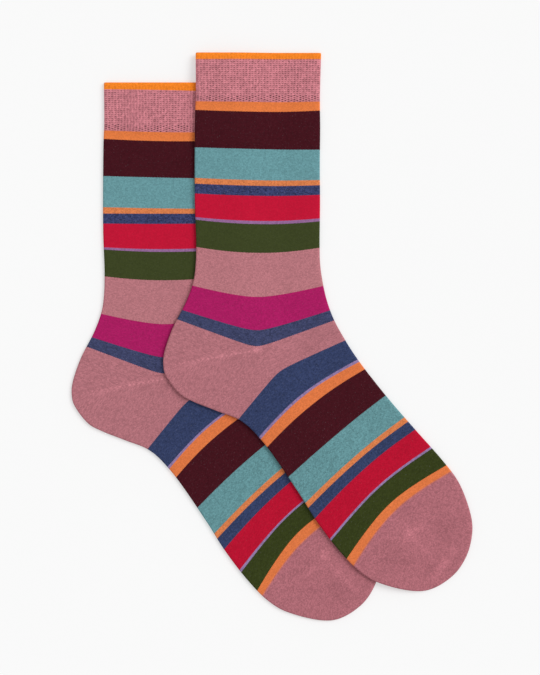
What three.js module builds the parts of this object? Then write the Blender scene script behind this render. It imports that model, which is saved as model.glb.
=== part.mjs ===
// A pair of mid-calf socks laid flat, the front one lying over the back one.
// Millimetres. +X runs from the heels to the toes, +Y up the legs and +Z up from the surface.
// Each sock is one knitted tube: two layers of cloth with rounded folds, open at the cuff.
import * as THREE from "three";

// Cloth
const LEG_WALL = 1.0; // one layer of the leg, heel, foot and toe
const CUFF_WALL = 1.25; // one side of the cuff, which is knitted double
const HOLLOW = 0.4; // left between the two sides of a sock that lies flat

// Cuff
const EDGE_DEPTH = 4.6; // turned band along the top
const CUFF_DEPTH = 32.5;
const CUFF_STEP = 3; // length over which the double cloth thins to the single one
const RIBS = 40; // across one side
const RIB_RELIEF = 0.25;
const RIB_FADE = 1.2; // length over which a rib rises at its ends

// How the front sock lies on the back one
const FRONT_SHIFT = { x: 61.3, y: 19.7 }; // from the back sock to the front one
const CLEARANCE = 0.4; // between the two
const SHOULDER = 4; // it stays raised this far past the back sock's edge
const SLOPE = 36; // and comes down to the surface over this length
const BRIDGE = 8; // it keeps its height over the cuff this far past the foot of the cuff

// Outline of a sock, from the back corner of its cuff: down the calf, round the heel, along the sole
const BACK_EDGE = [
  [-0.9, 0],
  [-0.7, -28],
  [-1.2, -40],
  [-1.4, -100],
  [-0.5, -126],
  [-0.9, -142],
  [-2.4, -152.5],
  [-7.2, -166],
  [-16.6, -184.6],
  [-21.9, -200.6],
  [-22.5, -207.5],
  [-21.1, -214.6],
  [-11.2, -227.8],
  [-2.7, -232.5],
  [12.7, -238.6],
  [29.5, -245.5],
  [43.3, -258.7],
  [67.2, -292.5],
  [79.7, -312.2],
  [95.4, -332.6],
  [109, -346.2],
  [121.4, -353.4],
  [152, -358.9],
];
const TOE_TIP = [170.4, -349.2];
// and from its front corner: down the shin, over the ankle, along the instep and round the toes
const FRONT_EDGE = [
  [82.8, 0],
  [82, -30],
  [82.2, -50],
  [81.9, -75],
  [82.1, -100],
  [81.8, -126],
  [82.1, -140],
  [83.6, -151.5],
  [86.6, -165],
  [91.4, -178],
  [98.7, -191.3],
  [107.6, -205],
  [127.8, -230.8],
  [145.6, -251.3],
  [163.4, -271.4],
  [173.7, -284.9],
  [179.6, -297.9],
  [183.6, -313],
  [183.4, -323],
  [179.6, -336.4],
];
// The column of stitches half way between the two edges turns sharply at the ankle
const MIDDLE_LINE = [
  [41, 0],
  [40.7, -131.5],
  [40, -163],
  [39.9, -185],
  [39.6, -195.5],
  [55.2, -212],
  [76.4, -234],
  [104.7, -268.7],
  [131.2, -305.3],
  [151, -328],
  TOE_TIP,
];

// Courses, which are rounds of knitting. Each stands this far along the back edge, the middle line
// and the front edge, and this many rings of points lead from it to the next
const COURSES = [
  { name: "inside the turned edge", back: 0.6, middle: 0.6, front: 0.6, rings: 1 },
  { name: "foot of the turned edge", back: 4.6, middle: 4.6, front: 4.6, rings: 4 },
  { name: "foot of the cuff", back: 32.5, middle: 32.5, front: 32.5, rings: 1 },
  { name: "top of the leg", back: 35.5, middle: 35.5, front: 35.5, rings: 7 },
  { name: "lower leg", back: 130.3, middle: 133.3, front: 129.7, rings: 3 },
  { name: "ankle", back: 155.5, middle: 162.6, front: 155.4, rings: 4 },
  { name: "top of the heel pocket", back: 178.7, middle: 195.7, front: 180.3, rings: 11 },
  { name: "end of the heel pocket", back: 278, middle: 218.4, front: 191.5, rings: 6 },
  { name: "arch", back: 327.6, middle: 274.5, front: 239.3, rings: 4 },
  { name: "ball of the foot", back: 360.4, middle: 304.7, front: 270.1, rings: 5 },
  { name: "toe pocket", back: 401, middle: 339, front: 307.2, rings: 4 },
  { name: "toes", back: 437, middle: 371, front: 345, rings: 3 },
  { name: "end of the toes", back: 456, middle: 390.5, front: 365, rings: 2 },
  { name: "just before the tip", back: 467.5, middle: 395.6, front: 377, rings: 1 },
];

// Columns of points across one side of each surface, and steps round half a fold at its edges
const OUTSIDE = {
  front_sock: { columns: 14, foldSteps: 2 },
  back_sock: { columns: 6, foldSteps: 2 },
};
const INSIDE = {
  front_sock: { columns: 8, foldSteps: 1 },
  back_sock: { columns: 4, foldSteps: 1 },
};
const LEAST_HEIGHT = 0.3; // of a surface's half height, next to a fold
const FOLD_TURN = 0.02; // a fold's share of the way round, for matching one ring to the next
const WIDEST_FOLD = 1 / 3; // of a ring's width, where it narrows at the toes

// How finely smooth lines are measured
const LENGTH_DIVISIONS = 3000;
const OUTLINE_STRETCHES = 420;
const TIP_SEARCH_STEP = 0.1;

const BACK_COLOUR = 0xb0707a;
const FRONT_COLOUR = 0xb87882;

// A smooth line through points, with its place and direction at any distance from its start
function smoothLine(points) {
  const curve = new THREE.CatmullRomCurve3(
    points.map(([x, y]) => new THREE.Vector3(x, y, 0)),
    false,
    "centripetal",
  );
  curve.arcLengthDivisions = LENGTH_DIVISIONS;
  const length = curve.getLength();
  const share = (distance) => THREE.MathUtils.clamp(distance / length, 0, 1);
  return {
    length,
    at: (distance) => curve.getPointAt(share(distance)),
    direction: (distance) => curve.getTangentAt(share(distance)),
    spaced: (count) => curve.getSpacedPoints(count),
  };
}

const outline = smoothLine([...BACK_EDGE, TOE_TIP, ...FRONT_EDGE.toReversed()]);
const middleLine = smoothLine(MIDDLE_LINE);
const outlinePoints = outline.spaced(OUTLINE_STRETCHES);

// The point of the outline at a distance from its start, moved inwards
function insideOutline(distance, inset) {
  const along = outline.direction(distance);
  return outline.at(distance).add(new THREE.Vector3(-along.y, along.x, 0).multiplyScalar(inset));
}

function distanceToStretch(x, y, from, to) {
  const [dx, dy] = [to.x - from.x, to.y - from.y];
  const share = ((x - from.x) * dx + (y - from.y) * dy) / (dx * dx + dy * dy);
  const t = THREE.MathUtils.clamp(share, 0, 1);
  return Math.hypot(x - from.x - t * dx, y - from.y - t * dy);
}

// How far a point is from the fold that runs round the sock from one corner of the cuff to the other
function distanceToFold(x, y) {
  let nearest = Infinity;
  for (let i = 1; i < outlinePoints.length; i++) {
    const gap = distanceToStretch(x, y, outlinePoints[i - 1], outlinePoints[i]);
    nearest = Math.min(nearest, gap);
  }
  return nearest;
}

// How far a point lies outside a sock, and 0 on it
function distanceOutside(x, y) {
  let inside = false;
  outlinePoints.forEach((a, i) => {
    const b = outlinePoints[(i + 1) % outlinePoints.length];
    const crosses = a.y > y !== b.y > y && x < a.x + ((y - a.y) * (b.x - a.x)) / (b.y - a.y);
    if (crosses) inside = !inside;
  });
  if (inside) return 0;
  const mouth = distanceToStretch(x, y, outlinePoints[0], outlinePoints.at(-1));
  return Math.min(distanceToFold(x, y), mouth);
}

// 1 on the cuff, 0 below it, by the height on the leg
const cuffShare = (y) => 1 - THREE.MathUtils.smoothstep(-y, CUFF_DEPTH, CUFF_DEPTH + CUFF_STEP);

// Thickness of one side's cloth, and the height of a whole sock that lies flat
const wallAt = (y) => THREE.MathUtils.lerp(LEG_WALL, CUFF_WALL, cuffShare(y));
const topAt = (y) => 2 * wallAt(y) + HOLLOW + RIB_RELIEF * cuffShare(y);

// The height of the front sock's underside: over the back sock, then down a soft slope beside it
function underside(x, y) {
  const [backX, backY] = [x + FRONT_SHIFT.x, y + FRONT_SHIFT.y];
  const raised = topAt(backY + BRIDGE) + CLEARANCE;
  const outside = distanceOutside(backX, backY);
  return raised * (1 - THREE.MathUtils.smoothstep(outside, SHOULDER, SHOULDER + SLOPE));
}

// The height of a rib, 0 to 1, by its place across the cuff and down the leg
function ribAt(share, y) {
  const top = THREE.MathUtils.smoothstep(-y, EDGE_DEPTH, EDGE_DEPTH + RIB_FADE);
  const foot = 1 - THREE.MathUtils.smoothstep(-y, CUFF_DEPTH - RIB_FADE, CUFF_DEPTH);
  const crest = Math.abs(((share * RIBS) % 1) - 0.5) * 2;
  return (1 - crest) * Math.min(top, foot);
}

// Places across one side, from fold to fold: the distance from the fold, the share of the flat part
// between the folds, and turn, which counts from 0 at the back fold to 1 at the front one
function acrossSide(flatColumns, foldSteps, half) {
  const fold = Array.from({ length: foldSteps }, (_, i) => {
    const angle = (i / foldSteps) * (Math.PI / 2);
    return { gap: half * (1 - Math.cos(angle)), turn: (i / foldSteps) * FOLD_TURN };
  });
  const back = fold.map(({ gap, turn }) => ({ gap, flat: 0, turn }));
  const flat = Array.from({ length: flatColumns + 1 }, (_, i) => {
    const share = i / flatColumns;
    return { gap: half, flat: share, turn: THREE.MathUtils.lerp(FOLD_TURN, 1 - FOLD_TURN, share) };
  });
  const front = fold.map(({ gap, turn }) => ({ gap, flat: 1, turn: 1 - turn })).reverse();
  return [...back, ...flat, ...front];
}

// One ring of the tube's outer or inner surface, which lies inset from the outline and half above
// and below the sock's middle height. lift gives the height of the sock's underside
function makeRing(course, { inset, half, columns, foldSteps, ribbed = false }, lift) {
  const back = insideOutline(course.back, inset);
  const front = insideOutline(outline.length - course.front, inset);
  const middle = middleLine.at(Math.min(course.middle, middleLine.length - inset));
  const bow = middle.clone().sub(back.clone().lerp(front, 0.5));
  const width = back.distanceTo(front);
  const fold = Math.min(half, width * WIDEST_FOLD);

  const point = ({ gap, flat, turn }, side) => {
    const nearFold = (Math.min(gap, fold) / width) * (flat > 0.5 ? -1 : 1);
    const start = fold / width;
    const isFlat = gap >= half;
    const across = isFlat ? start + flat * (1 - 2 * start) : (flat > 0.5 ? 1 : 0) + nearFold;
    const place = back.clone().lerp(front, across);
    place.addScaledVector(bow, 4 * across * (1 - across));
    const { x, y } = place;
    const depth = THREE.MathUtils.clamp((distanceToFold(x, y) - inset) / half, 0, 1);
    const round = Math.sqrt(1 - (1 - depth) ** 2);
    const height = gap > 0 ? half * Math.max(round, LEAST_HEIGHT) : 0;
    const rib = ribbed && side > 0 && isFlat ? RIB_RELIEF * ribAt(flat, y) : 0;
    const middleHeight = wallAt(y) + HOLLOW / 2;
    const at = side > 0 ? turn / 2 : 1 - turn / 2;
    return { at, x, y, z: lift(x, y) + middleHeight + side * (height + rib) };
  };

  const top = acrossSide(ribbed ? 2 * RIBS : columns, foldSteps, half);
  const bottom = acrossSide(columns, foldSteps, half).slice(1, -1).reverse();
  return [...top.map((place) => point(place, 1)), ...bottom.map((place) => point(place, -1))];
}

// A belt of triangles between two rings, which may hold different numbers of points
function addBelt(near, far, faces) {
  const [nearSteps, farSteps] = [near, far].map((ring) => (ring.length > 1 ? ring.length : 0));
  const end = (ring, i) => (i + 1 < ring.length ? ring[i + 1].at : 1);
  let [i, j] = [0, 0];
  while (i < nearSteps || j < farSteps) {
    const here = near[i % near.length];
    const there = far[j % far.length];
    const stepNear = j >= farSteps || (i < nearSteps && end(near, i) <= end(far, j));
    if (stepNear) faces.push([here, there, near[++i % near.length]]);
    else faces.push([here, there, far[++j % far.length]]);
  }
}

const between = (a, b, share) => ({
  back: THREE.MathUtils.lerp(a.back, b.back, share),
  middle: THREE.MathUtils.lerp(a.middle, b.middle, share),
  front: THREE.MathUtils.lerp(a.front, b.front, share),
});

const ringCourses = COURSES.slice(0, -1).flatMap((course, k) =>
  Array.from({ length: course.rings }, (_, i) => between(course, COURSES[k + 1], i / course.rings)),
);
ringCourses.push(COURSES.at(-1));

// The sock's tube as a run of rings: from the closed end of the hollow up to the mouth, over the
// rounded rim and down the outside to the tip of the toes
function makeSock(name, colour, lift) {
  const inner = ringCourses.map((course) => {
    const inset = wallAt(-course.middle);
    return makeRing(course, { ...INSIDE[name], inset, half: HOLLOW / 2 }, lift);
  });
  const outer = ringCourses.map((course) => {
    const half = wallAt(-course.middle) + HOLLOW / 2;
    const ribbed = course.middle >= EDGE_DEPTH && course.middle <= CUFF_DEPTH;
    return makeRing(course, { ...OUTSIDE[name], inset: 0, half, ribbed }, lift);
  });
  const rimCourse = { back: 0, middle: 0, front: 0 };
  const rimSurface = { ...OUTSIDE[name], inset: CUFF_WALL / 2, half: (CUFF_WALL + HOLLOW) / 2 };
  const rim = makeRing(rimCourse, rimSurface, lift);
  const tip = (inset) => {
    const { x, y } = insideOutline(tipDistance, inset);
    return [{ at: 0, x, y, z: lift(x, y) + LEG_WALL + HOLLOW / 2 }];
  };
  const rings = [tip(LEG_WALL), ...inner.reverse(), rim, ...outer, tip(0)];

  const faces = [];
  rings.slice(1).forEach((ring, i) => addBelt(rings[i], ring, faces));
  const positions = faces.flat().flatMap(({ x, y, z }) => [x, y, z]);
  const geometry = new THREE.BufferGeometry();
  geometry.setAttribute("position", new THREE.Float32BufferAttribute(positions, 3));
  geometry.computeVertexNormals();
  const knit = new THREE.MeshStandardMaterial({ color: colour, roughness: 0.95, metalness: 0 });
  const mesh = new THREE.Mesh(geometry, knit);
  mesh.name = name;
  return mesh;
}

// The tip's distance along the outline, found where the outline passes it
function findTip() {
  const [x, y] = TOE_TIP;
  let best = { distance: 0, gap: Infinity };
  for (let distance = 0; distance <= outline.length; distance += TIP_SEARCH_STEP) {
    const place = outline.at(distance);
    const gap = Math.hypot(place.x - x, place.y - y);
    if (gap < best.gap) best = { distance, gap };
  }
  return best.distance;
}
const tipDistance = findTip();

const backSock = makeSock("back_sock", BACK_COLOUR, () => 0);
const frontSock = makeSock("front_sock", FRONT_COLOUR, underside);
frontSock.position.set(FRONT_SHIFT.x, FRONT_SHIFT.y, 0);

// The pair is centred over its origin, which lies on the surface
const pair = new THREE.Group();
pair.add(backSock, frontSock);
const bounds = new THREE.Box3().setFromObject(pair);
const centre = bounds.getCenter(new THREE.Vector3());
pair.position.set(-centre.x, -centre.y, 0);

const socks = new THREE.Group();
socks.add(pair);
export default socks;
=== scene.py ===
"""A pair of knitted mid-calf socks in uneven stripes, laid flat, the front one over the back one.

Each sock is one tube of knitting: a closed shell with an outside, an inside and rounded folds, open at
the cuff. Sizes in the tables are in millimetres in a sock's own frame, whose origin is the back corner
of its cuff, with X towards the toes and Y up the leg.
"""

import math

import bpy
import numpy as np
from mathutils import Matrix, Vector


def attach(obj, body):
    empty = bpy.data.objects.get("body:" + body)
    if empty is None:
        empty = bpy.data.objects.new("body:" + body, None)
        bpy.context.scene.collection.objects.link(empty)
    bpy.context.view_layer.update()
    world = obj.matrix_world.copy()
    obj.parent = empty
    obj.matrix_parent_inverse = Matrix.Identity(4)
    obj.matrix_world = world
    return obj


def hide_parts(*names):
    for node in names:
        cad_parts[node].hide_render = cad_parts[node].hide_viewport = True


bl_info = {
    "name": "Striped Sock Pair",
    "version": (1, 0, 0),
    "blender": (4, 5, 0),
    "location": "3D View > Sidebar > Socks",
    "description": "Knits a pair of striped mid-calf socks and lays them on a table",
    "category": "Object",
}

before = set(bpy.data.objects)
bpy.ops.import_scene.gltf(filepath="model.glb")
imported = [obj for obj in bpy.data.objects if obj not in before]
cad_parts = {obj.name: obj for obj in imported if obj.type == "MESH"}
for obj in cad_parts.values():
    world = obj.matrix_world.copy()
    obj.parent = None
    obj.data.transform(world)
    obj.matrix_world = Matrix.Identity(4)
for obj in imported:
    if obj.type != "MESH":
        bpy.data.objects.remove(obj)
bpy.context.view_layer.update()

MM = 0.001
SLOT = "striped_knit"

# Down the calf, round the heel and along the sole
BACK_EDGE = [
    (-0.9, 0), (-0.7, -28), (-1.2, -40), (-1.4, -100), (-0.5, -126), (-0.9, -142), (-2.4, -152.5),
    (-7.2, -166), (-16.6, -184.6), (-21.9, -200.6), (-22.5, -207.5), (-21.1, -214.6),
    (-11.2, -227.8), (-2.7, -232.5), (12.7, -238.6), (29.5, -245.5), (43.3, -258.7), (67.2, -292.5),
    (79.7, -312.2), (95.4, -332.6), (109, -346.2), (121.4, -353.4), (152, -358.9),
]
TOE_TIP = (170.4, -349.2)
# Down the shin, over the ankle, along the instep and round the toes
FRONT_EDGE = [
    (82.8, 0), (82, -30), (82.2, -50), (81.9, -75), (82.1, -100), (81.8, -126), (82.1, -140),
    (83.6, -151.5), (86.6, -165), (91.4, -178), (98.7, -191.3), (107.6, -205), (127.8, -230.8),
    (145.6, -251.3), (163.4, -271.4), (173.7, -284.9), (179.6, -297.9), (183.6, -313),
    (183.4, -323), (179.6, -336.4),
]
# The column of stitches half way between the two edges
MIDDLE_LINE = [
    (41, 0), (40.7, -131.5), (40, -163), (39.9, -185), (39.6, -195.5), (55.2, -212), (76.4, -234),
    (104.7, -268.7), (131.2, -305.3), (151, -328), TOE_TIP,
]

# Bands of yarn from the cuff to the toes: the yarn, how far along the back edge, the middle line and the
# front edge the band ends, and how its last course bends: 1.72 is a round bow, and 1 is two straight
# halves with a small round between them
BANDS = [
    ("edge_orange", 4.6, 4.4, 4.2, 1.72),
    ("cuff_rose", 32.7, 33.0, 32.5, 1.72),
    ("orange", 38.4, 39.5, 38.5, 1.72),
    ("wine", 63.3, 64.4, 64.6, 1.72),
    ("teal", 83.6, 85.1, 84.8, 1.72),
    ("thin_orange", 87.4, 88.8, 88.3, 1.72),
    ("navy", 94.0, 95.5, 94.7, 1.72),
    ("red", 109.7, 112.2, 110.4, 1.72),
    ("lilac", 111.4, 114.3, 112.3, 1.72),
    ("green", 129.6, 133.5, 130.0, 1.72),
    ("rose", 155.5, 162.8, 155.6, 1.3),
    ("magenta", 173.1, 185.0, 172.5, 1.08),
    ("ankle_navy", 180.2, 195.8, 179.8, 0.99),
    ("heel_rose", 213.0, 198.5, 182.3, 1.04),
    ("heel_rose", 277.9, 218.9, 195.0, 1.04),
    # The foot's navy, teal, red and green and the toes' rose are darker copies of the yarns above them:
    # painted shade where the light falls off towards the toes
    ("foot_navy", 296.0, 240.0, 210.2, 1.48),
    ("foot_lilac", 297.9, 241.7, 212.1, 1.56),
    ("foot_orange", 304.7, 249.7, 218.3, 1.72),
    ("wine", 329.1, 275.4, 240.6, 1.72),
    ("foot_teal", 349.8, 294.4, 259.8, 1.7),
    ("thin_orange", 353.5, 297.8, 263.6, 1.67),
    ("foot_navy", 361.9, 304.9, 270.8, 1.67),
    ("foot_red", 378.75, 319.55, 286.2, 1.48),
    ("foot_lilac", 380.2, 320.9, 287.6, 1.43),
    ("foot_green", 396.1, 333.7, 302.4, 1.39),
    ("foot_orange", 402.4, 339.3, 307.3, 1.52),
    ("toe_rose", 437.0, 371.0, 345.0, 1.72),
    ("toe_rose", 456.0, 390.5, 365.0, 1.72),
    ("toe_rose", 467.5, 395.6, 377.0, 1.72),
    ("toe_rose", 472.9, 396.6, 382.4, 1.72),
]
# Bands of the back sock that end farther along, by these lengths at the back edge, the middle line and
# the front edge. The bands between them follow
BACK_SOCK_SHIFTS = [
    (0, 0.0, 0.8, 2.4),
    (1, -0.7, 0.2, 0.5),
    (3, -0.8, -0.8, -0.2),
    (5, 0.1, -1.2, -0.7),
    (7, 0.3, -1.0, -0.8),
    (9, -0.2, -1.5, -1.1),
    (11, -1.8, -1.6, -1.6),
    (12, -1.7, -1.6, -1.6),
    (14, 0.7, 0.1, -1.8),
    (16, 0.4, -0.5, -1.3),
    (18, 1.2, -0.8, -1.0),
    (19, 1.1, -0.4, -1.5),
    (21, 1.4, -0.1, -1.3),
    (22, 1.8, 0.3, -1.3),
    (24, 2.5, 0.0, -1.6),
    (25, 0.8, 0.8, -0.4),
    (29, 0.0, 0.0, 0.0),
]
ROUND_BEND = 1.72
# How wide the round in the middle of a bow is, as a share of half the sock's width
BOW_ROUND = 0.1
# Places in the table of bands
CUFF_BAND = 1
UPPER_HEEL = 13
LOWER_HEEL = 14
TOE_BAND = 26

# How the pair lies. The front sock stays raised for a shoulder beside the back one, then slopes down,
# and it keeps its height over the cuff for a bridge past the foot of the cuff
FRONT_PLACE = (-50.13, 189.43)
BACK_PLACE = (-111.43, 169.73)
CLEARANCE = 0.4
SHOULDER = 4
SLOPE = 36
BRIDGE = 8

# Cuff
CUFF_TOP = 4.6
CUFF_FOOT = 32.5
CUFF_STEP = 3
RIBS = 40
RIB_FADE = 1.2
# A rib's height at its sides, as a share of its height in the middle, and the power that narrows a hole
RIB_SIDE = 0.75
HOLE_SHARPNESS = 1.5
# How far down the holes begin to be staggered
STAGGERED_FROM = 28.0
# How many rows lower the cuff's holes lie, at shares of its width from the back to the front
ROW_LEAN = {
    "front_sock": [(0.0, 0.15), (0.08, 0.05), (0.15, 0.0), (0.55, 0.05), (0.7, 0.0), (1.0, 0.08)],
    "back_sock": [
        (0.0, -0.25), (0.12, -0.15), (0.25, 0.0), (0.4, 0.1), (0.6, 0.18), (0.7, 0.0), (1.0, -0.15),
    ],
}
# How many rows lower they lie for each millimetre that the cloth is lifted off the table
LIFT_LEAN = 0.105

# Columns of stitches across one side, how many of them each fold takes, and the width at which the
# toes begin to lose some
WALES = 80
FOLD_WALES = 1.5
TOE_WIDTH = 78

# Folds at the edges: least share of the half height, widest share of a course, and how far the cloth
# drops, and how much a painted sheen lightens it, over a short reach beside them
LEAST_HEIGHT = 0.1
WIDEST_FOLD = 1 / 3
FOLD_DROP = 0.2
FOLD_REACH = 2.6
FOLD_PAINTED_SHEEN = 0.05

# Most bands that a stitch may reach over, the least length that this is measured on, and the rounding
# allowed in a place half way round a ring
MOST_GROWTH = 0.5
LEAST_RUN = 0.05
TURN_ROUNDING = 1e-6

# How finely smooth lines are measured, and how many places at once
CURVE_STEPS = 60
DIRECTION_STEP = 0.2
FOLD_STRETCHES = 420
CHUNK = 4000


class SmoothLine:
    """A smooth line through points, with its place and direction at any distance from its start."""

    def __init__(self, points):
        self.points = self.through(np.array(points, float))
        steps = np.linalg.norm(np.diff(self.points, axis=0), axis=1)
        self.lengths = np.concatenate([[0.0], np.cumsum(steps)])
        self.length = self.lengths[-1]

    @staticmethod
    def through(points):
        """Points close together on a centripetal curve through the given ones."""
        first = 2 * points[0] - points[1]
        last = 2 * points[-1] - points[-2]
        padded = np.vstack([first, points, last])
        t = np.linspace(0, 1, CURVE_STEPS, endpoint=False)[:, None]
        parts = []
        for a, b, c, d in zip(padded, padded[1:], padded[2:], padded[3:]):
            before = np.linalg.norm(b - a) ** 0.5
            here = np.linalg.norm(c - b) ** 0.5
            after = np.linalg.norm(d - c) ** 0.5
            leave = ((b - a) / before - (c - a) / (before + here) + (c - b) / here) * here
            arrive = ((c - b) / here - (d - b) / (here + after) + (d - c) / after) * here
            parts.append(
                (2 * t**3 - 3 * t**2 + 1) * b
                + (t**3 - 2 * t**2 + t) * leave
                + (3 * t**2 - 2 * t**3) * c
                + (t**3 - t**2) * arrive
            )
        parts.append(points[-1][None])
        return np.vstack(parts)

    def at(self, distance):
        x = np.interp(distance, self.lengths, self.points[:, 0])
        y = np.interp(distance, self.lengths, self.points[:, 1])
        return np.stack([x, y], axis=-1)

    def direction(self, distance):
        ahead = self.at(np.minimum(distance + DIRECTION_STEP, self.length))
        behind = self.at(np.maximum(distance - DIRECTION_STEP, 0.0))
        along = ahead - behind
        return along / np.linalg.norm(along)

    def spaced(self, count):
        return self.at(np.linspace(0, self.length, count + 1))


OUTLINE = SmoothLine([*BACK_EDGE, TOE_TIP, *FRONT_EDGE[::-1]])
MIDDLE = SmoothLine(MIDDLE_LINE)
FOLD = OUTLINE.spaced(FOLD_STRETCHES)


def smooth_step(value, low, high):
    share = np.clip((value - low) / (high - low), 0, 1)
    return share * share * (3 - 2 * share)


def inside_outline(distance, inset):
    """The outline's point at a distance from its start, moved inwards."""
    along = OUTLINE.direction(distance)
    return OUTLINE.at(distance) + inset * np.array([-along[1], along[0]])


def distance_to_stretches(places, starts, ends):
    """How far each place is from the nearest of some straight stretches."""
    nearest = np.empty(len(places))
    run = ends - starts
    square = (run**2).sum(1)
    for first in range(0, len(places), CHUNK):
        part = places[first : first + CHUNK, None, :]
        share = np.clip(((part - starts) * run).sum(2) / square, 0, 1)
        gap = part - starts - share[..., None] * run
        nearest[first : first + CHUNK] = np.sqrt((gap**2).sum(2).min(1))
    return nearest


def distance_to_fold(places):
    return distance_to_stretches(places, FOLD[:-1], FOLD[1:])


def distance_outside(places):
    """How far each place lies outside a sock, and 0 on it."""
    following = np.roll(FOLD, -1, axis=0)
    crossings = np.zeros(len(places), int)
    for (ax, ay), (bx, by) in zip(FOLD, following):
        spans = (ay > places[:, 1]) != (by > places[:, 1])
        with np.errstate(divide="ignore", invalid="ignore"):
            reach = ax + (places[:, 1] - ay) * (bx - ax) / (by - ay)
        crossings += spans & (places[:, 0] < reach)
    gaps = distance_to_stretches(places, FOLD, following)
    gaps[crossings % 2 == 1] = 0
    return gaps


class Cloth:
    """The sizes of the knitting in millimetres."""

    def __init__(self, sizes):
        self.leg_wall = sizes.leg_wall / MM
        self.cuff_wall = sizes.cuff_wall / MM
        self.hollow = sizes.hollow / MM
        self.rib_relief = sizes.rib_relief / MM
        self.hole_depth = sizes.hole_depth / MM
        self.mesh_pitch = sizes.mesh_pitch / MM
        self.course_height = sizes.course_height / MM

    def cuff_share(self, y):
        return 1 - smooth_step(-y, CUFF_FOOT, CUFF_FOOT + CUFF_STEP)

    def wall(self, y):
        return self.leg_wall + (self.cuff_wall - self.leg_wall) * self.cuff_share(y)

    def top(self, y):
        return 2 * self.wall(y) + self.hollow + self.rib_relief * self.cuff_share(y)

    def lift_on_back_sock(self, places):
        """The height of the front sock's underside: over the back sock, then down beside it."""
        shift = np.array(FRONT_PLACE) - np.array(BACK_PLACE)
        on_back = places + shift
        raised = self.top(on_back[:, 1] + BRIDGE) + CLEARANCE
        return raised * (1 - smooth_step(distance_outside(on_back), SHOULDER, SHOULDER + SLOPE))


# Soft creases, puckers and ridges, one a row: from x, y to x, y, half the width, the height or, below 0,
# the depth, and the painted light on the yarn there: paler as a painted highlight, darker as painted shade
TOP_CREASES = {
    "front_sock": [
        (-15, -211.2, -8.7, -208.9, 1.4, 0.06, 0.04),
        (-8.7, -208.9, 15.3, -202.2, 1.5, 0.14, 0.12),
        (15.3, -202.2, 40, -198.2, 1.5, 0.16, 0.14),
        (39.6, -198.3, 40.6, -198, 2.2, 0.2, 0.2),
        (152, -316, 140.8, -319.8, 2.4, 0.2, 0.1),
        (141.3, -319.5, 140.2, -321.5, 2.6, 0.28, 0.22),
        (142, -322, 151, -331.5, 1.6, 0.14, 0.08),
        (151, -331.5, 158, -339, 1.8, 0.16, 0.07),
        (158.7, -349.5, 164, -341, 3.2, 0.4, 0.16),
        (164, -341, 170, -332.2, 2.6, 0.34, 0.14),
        (153.5, -346.5, 158.5, -338.5, 3.4, -0.3, -0.05),
        (163, -319.5, 167, -316.5, 5.5, -0.26, -0.09),
        (136, -305.2, 140.5, -307.8, 5, -0.24, -0.08),
        (127, -334, 139, -339, 7.5, -0.22, -0.06),
        (170, -338.5, 164, -347.5, 2.6, -0.18, -0.03),
        (93, -186, 72, -199, 5.5, -0.22, -0.04),
        (88, -195.5, 66, -210, 5, 0.2, 0.03),
        (76, -200, 60, -208, 4, -0.14, -0.03),
    ],
    "back_sock": [
        (-14, -210.6, -7.5, -208.4, 1.3, 0.05, 0.03),
        (-7.5, -208.4, 16.5, -201.6, 1.6, 0.15, 0.13),
        (16.5, -201.6, 38.8, -197.8, 1.4, 0.14, 0.12),
        (145.6, -314.1, 144.6, -316, 2.5, 0.26, 0.2),
        (146, -317, 156, -327.5, 2.2, 0.18, 0.1),
        (156, -327.5, 166, -337.2, 2.6, 0.22, 0.11),
        (152, -337, 156.5, -340.5, 4.6, -0.24, -0.09),
        (133.3, -329.9, 140, -322.5, 1.8, 0.2, 0.12),
        (128, -326, 134.5, -319.5, 3.4, -0.16, -0.05),
        (100, -326, 122, -340, 6, 0.12, 0.02),
    ],
}
# The same for the undersides, with painted highlight and shade in the last column too
UNDER_CREASES = {
    "front_sock": [
        (20, -60, 26, -118, 8, 0.18, 0),
        (58, -50, 52, -84, 6, 0.14, 0.02),
        (84, -190, 60, -208, 6, 0.2, 0.04),
        (-8, -208, 39, -198, 1.5, 0.1, 0.12),
        (110, -262, 128, -290, 8, 0.16, -0.03),
        (143, -321, 158, -338, 2.5, 0.16, 0.1),
        (150, -326, 160, -342, 5, 0.2, 0),
    ],
    "back_sock": [
        (24, -48, 19, -96, 7, 0.16, 0),
        (62, -76, 66, -130, 9, 0.18, 0.02),
        (86, -186, 64, -206, 6, 0.2, 0.03),
        (-7, -208, 38, -198, 1.6, 0.1, 0.11),
        (78, -268, 98, -302, 8, 0.15, -0.03),
        (146, -317, 160, -334, 2.4, 0.14, 0.1),
        (148, -330, 158, -343, 5, 0.18, 0),
    ],
}


def crease_height_and_tone(places, creases):
    """What the creases add to each place's height, and the painted highlight or shade they add to its
    colour.
    """
    height = np.zeros(len(places))
    tone = np.zeros(len(places))
    for x0, y0, x1, y1, width, rise, painted_light in creases:
        start = np.array([[x0, y0]], float)
        end = np.array([[x1, y1]], float)
        share = np.exp(-((distance_to_stretches(places, start, end) / width) ** 2))
        height += rise * share
        tone += painted_light * share
    return height, tone


class Course:
    """One round of knitting: where it stands on the outline and how it bows in the middle.

    place counts the bands above it, and the share of its own band that lies above it.
    """

    def __init__(self, back, middle, front, bend, stitch, place):
        self.back = back
        self.middle = middle
        self.front = front
        self.bend = bend
        self.stitch = stitch
        self.place = place
        self.band = min(int(place), len(BANDS) - 1)

    def places(self, across, inset):
        start = inside_outline(self.back, inset)
        end = inside_outline(OUTLINE.length - self.front, inset)
        centre = MIDDLE.at(min(self.middle, MIDDLE.length - inset))
        bow = centre - (start + end) / 2
        off_centre = np.hypot(2 * across - 1, BOW_ROUND) - BOW_ROUND
        off_centre /= math.hypot(1, BOW_ROUND) - BOW_ROUND
        return start + (end - start) * across[:, None] + bow * (1 - off_centre**self.bend)[:, None]

    def width(self, inset):
        start = inside_outline(self.back, inset)
        end = inside_outline(OUTLINE.length - self.front, inset)
        return float(np.linalg.norm(end - start))


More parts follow.
